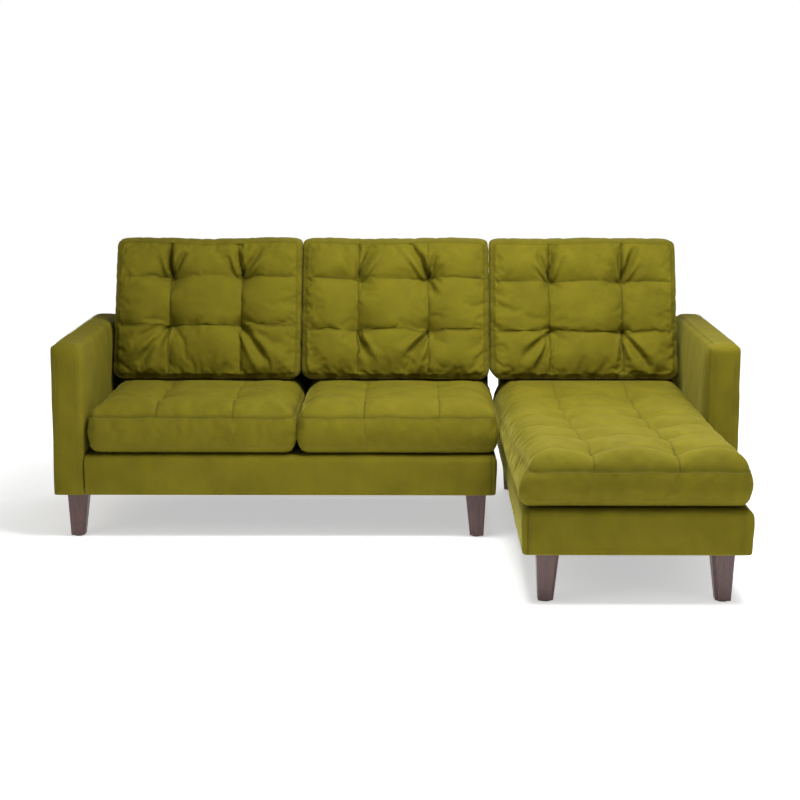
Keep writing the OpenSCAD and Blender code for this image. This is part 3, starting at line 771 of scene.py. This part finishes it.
def back_cushion(name, node, body, seams_x, rows, tufts, folds, seed, top_wave):
    """Boxed back cushion leaning on the back: crowned front in nine stitched panels, four tufts."""
    lo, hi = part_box(node)
    half = Vector(((hi.x - lo.x) / 2, (hi.z - lo.z) / 2))
    middle = Vector(((hi.x + lo.x) / 2, (hi.z + lo.z) / 2))
    local_x = [x - middle.x for x in seams_x]
    local_z = [z - middle.y for z in rows]
    pitch = 0.0078
    xs = graded(-half.x, half.x, pitch, local_x)
    vs = graded(-half.y, half.y, pitch, local_z)
    ws = graded(0, 1, 0.10, (), (0.06,))
    cut, faces = lattice(xs, ws, vs)
    x, w, v = cut.T
    on_front, on_rear = w == 0, w == 1
    edge_x = np.abs(np.abs(x) - half.x) < 1e-6
    edge_v = np.abs(np.abs(v) - half.y) < 1e-6
    rim = edge_x | edge_v
    inner_x, inner_v = half.x - PILLOW_BULGE, half.y - PILLOW_BULGE
    px, pv = round_corners(x * inner_x / half.x, v * inner_v / half.y, inner_x, inner_v,
                           PILLOW_RADIUS)
    d = np.maximum(edge_distance(px, pv, inner_x, inner_v, PILLOW_RADIUS), 0)
    out_x = np.clip((np.abs(px) - (inner_x - PILLOW_RADIUS)) / PILLOW_RADIUS, 0, 1) * np.sign(px)
    out_v = np.clip((np.abs(pv) - (inner_v - PILLOW_RADIUS)) / PILLOW_RADIUS, 0, 1) * np.sign(pv)
    size = np.maximum(np.hypot(out_x, out_v), 1e-6)
    bulge = (PILLOW_BULGE + 0.002) * np.sqrt(1 - np.abs(2 * w - 1) ** 5)
    px = px + np.where(rim, out_x / size * bulge, 0)
    pv = pv + np.where(rim, out_v / size * bulge, 0)
    # the crest waves a little
    up = np.clip((pv + half.y) / (2 * half.y), 0, 1)
    pv = pv + up * top_wave * np.sin(px / half.x * 4.2 + seed) * 0.5
    full = PILLOW_FOOT_T + (PILLOW_CREST_T - PILLOW_FOOT_T) * up
    edge_t = PILLOW_BORDER * full
    rear_gap = PILLOW_REAR * full
    rear = rear_gap * (1 - rise(d, 0.08))
    front = rear_gap + edge_t + (full - rear_gap - edge_t) * rise(d, 0.17)
    line_x = np.min([np.abs(px - s) for s in local_x], axis=0)
    line_v = np.min([np.abs(pv - s) for s in local_z], axis=0)
    front -= 0.013 * np.exp(-line_x / 0.014) * rise(d, 0.03)
    front -= 0.010 * np.exp(-line_v / 0.014) * rise(d, 0.03)
    for column, row, depth in tufts:
        r = np.hypot(px - local_x[column], pv - local_z[row])
        front -= depth * np.exp(-(r / 0.050) ** 1.2)
    for column, row, angle, length, depth, width in folds:
        start = (local_x[column], local_z[row])
        front += fold(px, pv, start, math.radians(angle), length, FOLD_GAIN * depth, width)
    # each tuft draws its seam crossing down a little
    pv = pv - 0.009 * np.exp(-(line_x / 0.040) ** 2 - (line_v / 0.05) ** 2) * on_front
    offset = np.where(on_front, front, np.where(on_rear, rear, 0))
    border = rear_gap + (1 - w) * edge_t
    offset = np.where(rim, border, offset)
    z = pv + middle.y
    y = rake_y(z) - 3 * MM - offset
    points = np.stack([px + middle.x, y, z], axis=1)
    wobble = soft_noise(points, 0.13, seed, 2)
    ripple = soft_noise(points, 0.030, seed + 5, 2)
    near = np.exp(-d / 0.035)
    points[:, 1] += np.where(on_rear, 0, wobble * 0.005)
    points[:, 1] += np.where(on_front, ripple * (0.0016 + 0.0034 * near), 0)
    points[:, 0] += ripple * 0.0022 * (out_x / size) * rim
    points[:, 2] += ripple * 0.0018 * (out_v / size) * rim
    piece = add_piece(name, points, faces, materials["velvet"])
    # painted shade along the stitched seams and the border rims, for the velvet to darken
    shade = np.maximum(np.exp(-(line_x / 0.0022) ** 2), np.exp(-(line_v / 0.0022) ** 2)) * on_front
    paint_seam_shade(piece, np.maximum(0.62 * shade, 0.34 * (rim & (on_front | on_rear))))
    pins = np.zeros(len(points))
    pins[rim & (on_front | on_rear)] = 1
    pins[on_rear] = 1
    pins[on_front & ((line_x < 1e-4) | (line_v < 1e-4)) & ~rim] = 0.6
    to_tuft = np.min([np.hypot(cut[:, 0] - local_x[column], cut[:, 2] - local_z[row])
                      for column, row, _ in tufts], axis=0)
    pins[on_front & (to_tuft < 0.007)] = 1
    before = points_of(piece)
    inflate(piece, pins, 3.4, 18, 0.020, 0.045)
    points = points_of(piece)
    points[:, 2] = np.maximum(points[:, 2], lo.z - 4 * MM)
    points[:, 2] -= 0.55 * np.maximum(points[:, 2] - (hi.z - 12 * MM), 0)
    points[:, 0] = np.clip(points[:, 0], lo.x - PILLOW_PROUD, hi.x + PILLOW_PROUD)
    set_points(piece, points)
    border_stitching(piece, points, body, w, (ws[1], ws[-2]), ((edge_v, v, x), (edge_x, x, v)))
    deeper = np.where(w < 0.5, 18 * MM + 22 * MM * np.exp(-(to_tuft / 0.035) ** 2), -12 * MM)
    add_filling(node.replace("cover", "fill_fibre"), piece, before, node.replace("cover", "fill"),
                body, "fibre", 1, deeper)
    subdivide(piece)
    settle(piece, body, [node])


def add_back_cushions():
    """Three loose cushions; folds are (column, row, angle, length, depth, width)."""
    base = PILLOW_LO.z
    left_folds = [
        (0, 1, 96, 0.115, 0.016, 0.0085), (0, 1, 62, 0.10, 0.010, 0.008),
        (1, 1, 98, 0.120, 0.013, 0.0085), (1, 1, 55, 0.13, 0.013, 0.009),
        (1, 1, 76, 0.12, 0.010, 0.007), (0, 0, 232, 0.20, 0.014, 0.011),
        (0, 0, 248, 0.15, 0.010, 0.008), (1, 0, 308, 0.19, 0.012, 0.011),
        (0, 0, 205, 0.15, 0.008, 0.012), (1, 0, 330, 0.15, 0.007, 0.011),
    ]
    middle_folds = [
        (0, 1, 66, 0.13, 0.014, 0.010), (1, 1, 118, 0.17, 0.013, 0.009),
        (1, 1, 104, 0.14, 0.010, 0.008), (1, 1, 72, 0.09, 0.008, 0.007),
        (1, 0, 240, 0.19, 0.014, 0.010), (1, 0, 228, 0.19, 0.011, 0.009),
        (0, 0, 290, 0.16, 0.009, 0.010), (0, 0, 276, 0.15, 0.008, 0.009),
        (1, 1, 292, 0.07, 0.007, 0.008),
    ]
    right_folds = [
        (0, 1, 84, 0.12, 0.012, 0.009), (0, 1, 112, 0.10, 0.009, 0.008),
        (1, 1, 66, 0.13, 0.013, 0.009), (1, 1, 92, 0.12, 0.009, 0.007),
        (1, 0, 305, 0.17, 0.011, 0.010), (0, 0, 250, 0.16, 0.010, 0.009),
        (1, 0, 268, 0.14, 0.008, 0.009), (0, 0, 222, 0.15, 0.009, 0.010),
    ]
    depth = 0.042
    everywhere = [(c, r, depth) for c in (0, 1) for r in (0, 1)]
    back_cushion("left_back_cushion_cover_velvet", "left_back_cushion_cover", "left_back_cushion",
                 (-0.790, -0.545), (base + 0.180, base + 0.343), everywhere, left_folds, 11, 0.010)
    back_cushion("middle_back_cushion_cover_velvet", "middle_back_cushion_cover",
                 "middle_back_cushion", (-0.132, 0.108), (base + 0.166, base + 0.336),
                 [(0, 1, 0.022), (1, 1, 0.046), (0, 0, 0.020), (1, 0, 0.030)],
                 middle_folds, 12, 0.007)
    back_cushion("right_back_cushion_cover_velvet", "right_back_cushion_cover",
                 "right_back_cushion", (0.535, 0.786), (base + 0.160, base + 0.328),
                 everywhere, right_folds, 13, 0.006)


# ---------- upholstered frame: arms, bases and backs ----------


def sweep(name, profile, path):
    """Carries a closed outline of (outward, z) along a path of (x, y, nx, ny)."""
    count = len(profile)
    verts, faces = [], []
    for x, y, nx, ny in path:
        for outward, z in profile:
            verts.append((x + nx * outward, y + ny * outward, z))
    for i in range(len(path) - 1):
        for k in range(count):
            a = i * count + k
            b = i * count + (k + 1) % count
            faces.append((a, b, b + count, a + count))
    last = (len(path) - 1) * count
    faces.append(tuple(reversed(range(count))))
    faces.append(tuple(last + k for k in range(count)))
    return add_piece(name, verts, faces, materials["velvet"])


def arc(centre, radius, start, end, count):
    """Points on an arc; angles in degrees."""
    return [(centre[0] + radius * math.cos(math.radians(start + (end - start) * i / count)),
             centre[1] + radius * math.sin(math.radians(start + (end - start) * i / count)))
            for i in range(count + 1)]


def even(points, pitch):
    """The same line with points no further apart than the pitch."""
    result = [points[0]]
    for a, b in zip(points, points[1:]):
        count = max(1, math.ceil(math.dist(a, b) / pitch))
        result += [tuple(p + (q - p) * i / count for p, q in zip(a, b)) for i in range(1, count + 1)]
    return result


def outward_normals(piece):
    mesh = bmesh.new()
    mesh.from_mesh(piece.data)
    bmesh.ops.recalc_face_normals(mesh, faces=mesh.faces)
    mesh.to_mesh(piece.data)
    mesh.free()


def crumple(piece, amount, scale, seed, fine=0.0, keep_below=None):
    """Soft unevenness along the normals; below keep_below nothing moves."""
    points = points_of(piece)
    push = soft_noise(points, scale, seed, 2) * amount
    if fine:
        push += soft_noise(points, scale / 5, seed + 1, 2) * fine
    if keep_below is not None:
        push = np.where(points[:, 2] < keep_below, 0, push)
    set_points(piece, points + normals_of(piece) * push[:, None])


BASE_CORNER = 0.014         # radius of the base's front corners, where its upright seams run
CHAISE_BULGE = 0.010        # how far the chaise base's free side stands proud of its rail


def base_upholstery(name, node, body, hidden_side, seed):
    """Padded cover round a base: front, corner seams and its open sides, rolled over the top edge."""
    lo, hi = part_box(node)
    bottom, top = lo.z, hi.z
    corner, roll, flange, cloth = BASE_CORNER, 0.026, 0.085, 0.007
    face = 0.002
    outline = [(-0.028, bottom + 0.0022), (-0.028, bottom + 0.0002)]
    outline += [(-0.006, bottom + 0.0002)] + arc((-0.006, bottom + 0.006), 0.006, -90, 0, 4)
    outline += [(face, bottom + 0.045), (face + 0.0015, bottom + 0.080)]
    outline += arc((-roll + 0.003, top - roll - 0.0015), roll, 0, 90, 7)
    outline += [(-flange, top - 0.0015), (-flange, top - 0.0015 - cloth)]
    inner = [(-roll, top - 0.0015 - cloth), (-0.0085, top - 0.024), (-0.0085, bottom + 0.012)]
    outline += inner + [(-0.012, bottom + 0.0022)]
    outline = even(outline + [outline[0]], 0.016)[:-1]
    x0, x1, y0, y1 = lo.x, hi.x, lo.y, hi.y

    def turn(x, start):
        return [(x, y0 + corner, math.cos(math.radians(a)), math.sin(math.radians(a)))
                for a in range(start, start + 91, 18)]

    start = x0 + corner if hidden_side != "left" else x0 + 0.0005
    stop = x1 - corner if hidden_side != "right" else x1 - 0.0005
    path = []
    if hidden_side != "left":
        path += [(x0 + corner, y, -1, 0) for y in np.linspace(y1, y0 + corner, 70)[:-1]]
        path += turn(x0 + corner, 180)[:-1]
    corner_seams = (x0 + corner, x1 - corner)
    path += [(x, y0 + corner, 0, -1) for x in graded(start, stop, 0.010, corner_seams, (0.003,))]
    if hidden_side != "right":
        path += turn(x1 - corner, 270)[1:]
        path += [(x1 - corner, y, 1, 0) for y in np.linspace(y0 + corner, y1, 70)[1:]]
    shifted = [(o + corner, z) for o, z in outline]
    piece = sweep(name, shifted, path)
    outward_normals(piece)
    crumple(piece, 0.0016, 0.16, seed, fine=0.0006, keep_below=bottom + 0.002)
    # vertical seams beside the front corners: a shallow groove, with painted shade along it
    points = points_of(piece)
    if hidden_side == "none":
        ahead = np.clip((ARM_LO.y - 0.02 - points[:, 1]) / 0.12, 0, 1)
        points[:, 0] += CHAISE_BULGE * ahead * np.clip((points[:, 0] - x0) / (x1 - x0), 0, 1) ** 2
        set_points(piece, points)
    normals = normals_of(piece)
    front = (points[:, 1] < y0 + 0.010) & (points[:, 2] > bottom + 0.001) & (points[:, 2] < top)
    push = np.zeros(len(points))
    # painted shade in the seam grooves, for the velvet to darken
    shade = np.zeros(len(points))
    for seam, hide in zip(corner_seams, ("left", "right")):
        if hidden_side != hide:
            gap = np.abs(points[:, 0] - seam)
            push -= 0.0032 * np.exp(-(gap / 0.006) ** 2) * front
            shade += 0.55 * np.exp(-(gap / 0.0025) ** 2) * front
    points = points + normals * push[:, None]
    points[:, 2] = np.minimum(points[:, 2], top)
    set_points(piece, points)
    paint_seam_shade(piece, shade)
    subdivide(piece)
    settle(piece, body, [node])
    seams = []
    for seam, hide in ((x0 + 0.020, "left"), (x1 - 0.020, "right")):
        if hidden_side != hide:
            heights = np.linspace(bottom + 0.008, top - 0.03, 12)
            line = [(seam, y0 - 0.0028, z) for z in heights]
            seams.append(straight_seam(line, (0.0, -1.0, 0.0)))
    stitches(name + "_stitching", seams, body)


ARM_EDGE_TOP = 0.017        # radii of the arm's padded edges
ARM_EDGE_END = 0.022
ARM_EDGE_FRONT = 0.011
ARM_EDGE_BELOW_DECK = 0.003
ARM_GROOVE_IN = 0.009       # from the arm's side to the seam groove, and to the thread beside it
ARM_THREAD_IN = 0.0155


def arm_upholstery(name, node, body, side, seed):
    """Slim arm: one strip runs up the front and over the top, with sewn side panels."""
    lo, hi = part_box(node)
    half = (hi.x - lo.x) / 2
    middle_x = (hi.x + lo.x) / 2
    xs = graded(-half, half, 0.012, (), (0.006, 0.013))
    ys = graded(lo.y, hi.y, 0.016, (), (0.008, 0.018))
    zs = graded(lo.z, hi.z, 0.016, (), (0.006, 0.016))
    cut, faces = lattice(xs, ys, zs)
    x, y, z = cut.T
    inner = x * -side > 0                       # the face towards the seat
    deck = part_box("two_seater_base_cover")[1].z
    radius_front = np.where(inner & (z < deck + 0.02), ARM_EDGE_BELOW_DECK, ARM_EDGE_FRONT)
    mid_y, half_y = (lo.y + hi.y) / 2, (hi.y - lo.y) / 2
    px, pz = round_corners(x, z, half, hi.z, ARM_EDGE_TOP)
    py, pz = round_corners(y - mid_y, pz, half_y, hi.z, ARM_EDGE_END)
    px, py = round_corners(px, py, half, half_y, radius_front)
    py = py + mid_y
    # side panels puff between their seams
    from_front = np.clip((py - lo.y) / 0.10, 0, 1)
    from_back = np.clip((hi.y - py) / 0.10, 0, 1)
    from_top = np.clip((hi.z - pz) / 0.09, 0, 1)
    on_side = np.abs(px) > half - 0.002
    seat_zone = np.clip((pz - deck + 0.02) / 0.05, 0, 1)
    puff = np.prod([np.sin(part * math.pi / 2) for part in (from_front, from_back, from_top)], axis=0)
    px = px + np.where(on_side & inner, -side * puff * seat_zone * 0.010, 0)
    px = px + np.where(on_side & ~inner, side * puff * 0.0015, 0)
    on_front = py < lo.y + 0.002
    py = py - np.where(on_front, 0.0025 * np.cos(px / half * math.pi / 2), 0)
    pz = pz + np.where(pz > hi.z - 0.002, 0.002 * np.cos(px / half * math.pi / 2), 0)
    points = np.stack([px + middle_x, py, pz], axis=1)
    piece = add_piece(name, points, faces, materials["velvet"])
    # a groove runs between the strip and each side panel, with painted shade along it
    crumple(piece, 0.0011, 0.15, seed, fine=0.0007, keep_below=lo.z + 0.004)
    points, normals = points_of(piece), normals_of(piece)
    strip_x = half - ARM_GROOVE_IN
    # painted shade along the groove on the front and the top, for the velvet to darken
    paint_seam_shade(piece, 0.4 * np.exp(-(np.abs(np.abs(x) - half + 0.006) / 0.003) ** 2)
               * ((y == lo.y) | (z == hi.z)) * (z > lo.z))
    on_strip = (normals[:, 1] < -0.5) | (normals[:, 2] > 0.5) | (normals[:, 1] > 0.5)
    gap = np.abs(np.abs(points[:, 0] - middle_x) - strip_x)
    groove = -0.0035 * np.exp(-(gap / 0.0055) ** 2) * (points[:, 2] > lo.z + 0.01)
    points = points + normals * (groove * on_strip)[:, None]
    # a few pulled creases where the strip turns over at the front
    corner_pull = np.exp(-((points[:, 2] - hi.z + 0.035) / 0.02) ** 2) * (points[:, 1] < lo.y + 0.03)
    pull = soft_noise(points * np.array([1.0, 1.0, 0.35]), 0.012, seed + 9, 1)
    points = points + normals * (corner_pull * pull * 0.0022)[:, None]
    points[:, 2] = np.maximum(points[:, 2], lo.z)
    set_points(piece, points)
    seams = []
    reach = half - ARM_THREAD_IN
    for offset in (-reach, reach):
        heights = np.linspace(lo.z + 0.01, hi.z - 0.035, 30)
        line = [(middle_x + offset, lo.y - 0.0018, z) for z in heights]
        seams.append(straight_seam(line, (0.0, -1.0, 0.0)))
        depths = np.linspace(lo.y + 0.035, hi.y - 0.035, 50)
        line = [(middle_x + offset, y, hi.z + 0.0012) for y in depths]
        seams.append(straight_seam(line, (0.0, 0.0, 1.0)))
    stitches(name + "_stitching", seams, body)
    subdivide(piece)
    settle(piece, body, [node])


def back_upholstery(unit, free_end, seed):
    """Inside back with its top roll, and the flat outside panel behind."""
    inside, outside = unit + "_inside_back", unit + "_outside_back"
    lo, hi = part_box(inside)
    out_lo, out_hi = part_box(outside)
    top, deck = hi.z, lo.z
    roll, pad = 0.020, 0.014
    panel_top = top - 0.0345
    front_top = rake_y(top)
    outline = [(rake_y(deck) + pad, deck + 0.001), (rake_y(deck), deck + 0.001)]
    outline += [(rake_y(top - roll), top - roll)]
    outline += [(front_top + roll - roll * math.cos(a), top - roll + roll * math.sin(a))
                for a in np.linspace(0.2, math.pi / 2, 6)]
    outline += [(Y_BACK - roll + roll * math.sin(a), top - roll + roll * math.cos(a))
                for a in np.linspace(0.0, math.pi / 2, 6)]
    outline += [(Y_BACK, top - 0.034), (Y_BACK - 0.006, top - 0.034), (Y_BACK - 0.006, top - 0.012)]
    outline += [(front_top + 0.016, top - 0.012), (rake_y(top - 0.03) + pad, top - 0.03)]
    outline = even(outline + [outline[0]], 0.02)[:-1]
    path = [(x, 0.0, 0.0, 1.0) for x in np.linspace(lo.x + 0.0005, hi.x - 0.0005, 90)]
    piece = sweep(unit + "_inside_back_velvet", outline, path)
    outward_normals(piece)
    crumple(piece, 0.0022, 0.15, seed, fine=0.0008)
    subdivide(piece)
    settle(piece, unit, [inside])
    # cover on the free end of the back
    ys = graded(0, 1, 0.08, (), (0.03,))
    zs = graded(deck, top - 0.010, 0.014, (), (0.005,))
    xs = graded(0, 0.0095, 0.005, (), (0.002,))
    cut, faces = lattice(xs, ys, zs)
    end_x = hi.x - 0.0096 if free_end == "right" else lo.x + 0.0001
    front = rake_y(cut[:, 2]) + pad
    points = np.stack([end_x + cut[:, 0],
                       front + (Y_BACK - 0.0065 - front) * cut[:, 1], cut[:, 2]], axis=1)
    end = add_piece(unit + "_back_end_velvet", points, faces, materials["velvet"])
    crumple(end, 0.0008, 0.08, seed + 2)
    subdivide(end)
    settle(end, unit, [])
    # outside panel
    xs = graded(out_lo.x, out_hi.x, 0.024, (), (0.006, 0.012))
    zs = graded(out_lo.z, panel_top, 0.024, (), (0.006, 0.012))
    ys = graded(0, 1, 0.5)
    cut, faces = lattice(xs, ys, zs)
    x, t, z = cut.T
    d = np.min([x - out_lo.x, out_hi.x - x, z - out_lo.z, panel_top - z], axis=0)
    puff = 0.0035 * rise(d, 0.05)
    y = np.where(t == 1, Y_BACK - 0.002 + puff,
                 out_lo.y + 0.0005 + (Y_BACK - 0.003 - out_lo.y) * t * 0.8)
    panel = add_piece(unit + "_outside_back_velvet", np.stack([x, y, z], axis=1), faces,
                      materials["velvet"])
    crumple(panel, 0.0012, 0.2, seed + 4, fine=0.0004, keep_below=out_lo.z + 0.002)
    subdivide(panel)
    settle(panel, unit, [outside])
    seams = []
    for z in (top - 0.030, top - 0.040):
        along = np.linspace(lo.x + 0.01, hi.x - 0.01, 60)
        line = [(x, Y_BACK + 0.0006, z) for x in along]
        seams.append(straight_seam(line, (0.0, 1.0, 0.0)))
    stitches(unit + "_back_stitching", seams, unit)


DECK_INSET = 0.078          # from the base's open sides to the felt
SHEET_MARGIN = 0.012        # from the base's sides to the dust cloth


def deck_cloth(name, node, body, left_inset, seed):
    """Felt pad under the cushions, inside the velvet border, with a sewn edge."""
    lo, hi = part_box(node)
    x0, x1, y0, y1 = lo.x + left_inset, hi.x - DECK_INSET, lo.y + DECK_INSET, hi.y
    xs = graded(x0, x1, 0.03, (), (0.006,))
    ys = graded(y0, y1, 0.03, (), (0.006,))
    cut, faces = lattice(xs, ys, np.array([lo.z, hi.z]))
    d = np.minimum(np.minimum(cut[:, 0] - x0, x1 - cut[:, 0]), cut[:, 1] - y0)
    wave = soft_noise(cut, 0.12, seed, 2) * 0.0012
    z = np.where(cut[:, 2] == hi.z, hi.z - 0.0030 + 0.0022 * rise(d, 0.06) + wave * rise(d, 0.06),
                 lo.z + 0.0002)
    piece = add_piece(name, np.stack([cut[:, 0], cut[:, 1], z], axis=1), faces, materials["felt"])
    settle(piece, body, [node])


def dust_sheet(name, body, lo, hi, node):
    """Thin black cloth stapled under the frame, sagging a little between its staples."""
    xs = np.linspace(lo.x, hi.x, max(8, int((hi.x - lo.x) / 0.03)))
    ys = np.linspace(lo.y, hi.y, max(8, int((hi.y - lo.y) / 0.03)))
    cut, faces = lattice(xs, ys, np.array([0.0, 1.0]))
    d = np.minimum(np.minimum(cut[:, 0] - lo.x, hi.x - cut[:, 0]),
                   np.minimum(cut[:, 1] - lo.y, hi.y - cut[:, 1]))
    creases = soft_noise(cut * np.array([1, 1, 0]), 0.05, 3, 2)
    sag = 0.0022 * rise(d, 0.12) + 0.0005 * creases * rise(d, 0.03)
    z = hi.z - 0.0001 - sag - 0.0006 * (1 - cut[:, 2])
    piece = add_piece(name, np.stack([cut[:, 0], cut[:, 1], z], axis=1), faces, materials["cambric"])
    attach(piece, body)
    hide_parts(node)


def add_frame_covers():
    arm_upholstery("left_arm_velvet", "left_arm_cover", "two_seater", -1, 21)
    arm_upholstery("right_arm_velvet", "right_arm_cover", "chaise", 1, 22)
    base_upholstery("two_seater_base_velvet", "two_seater_base_cover", "two_seater", "left", 23)
    base_upholstery("chaise_base_velvet", "chaise_base_cover", "chaise", "none", 24)
    back_upholstery("two_seater", "right", 25)
    back_upholstery("chaise", "left", 26)
    deck_cloth("two_seater_deck_felt", "two_seater_deck_pad", "two_seater", 0.002, 27)
    deck_cloth("chaise_deck_felt", "chaise_deck_pad", "chaise", DECK_INSET, 28)
    for unit in ("two_seater", "chaise"):
        lo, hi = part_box(unit + "_dust_cover")
        seat_lo, seat_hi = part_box(unit + "_base_cover")
        inner_lo = Vector((max(lo.x, seat_lo.x + SHEET_MARGIN), seat_lo.y + SHEET_MARGIN, lo.z))
        inner_hi = Vector((min(hi.x, seat_hi.x - SHEET_MARGIN), hi.y, hi.z))
        dust_sheet(unit + "_dust_cloth", unit, inner_lo, inner_hi, unit + "_dust_cover")


# ---------- build ----------

materials = make_materials()
add_camera()
add_stage()
for node_name, node in frame["nodes"].items():
    slot_name = next(s["material_slot"] for s in frame["record"]["subparts"] if s["node"] == node_name)
    node.data.materials.clear()
    node.data.materials.append(materials[slot_name])
add_frame_covers()
add_seat_cushions()
add_back_cushions()
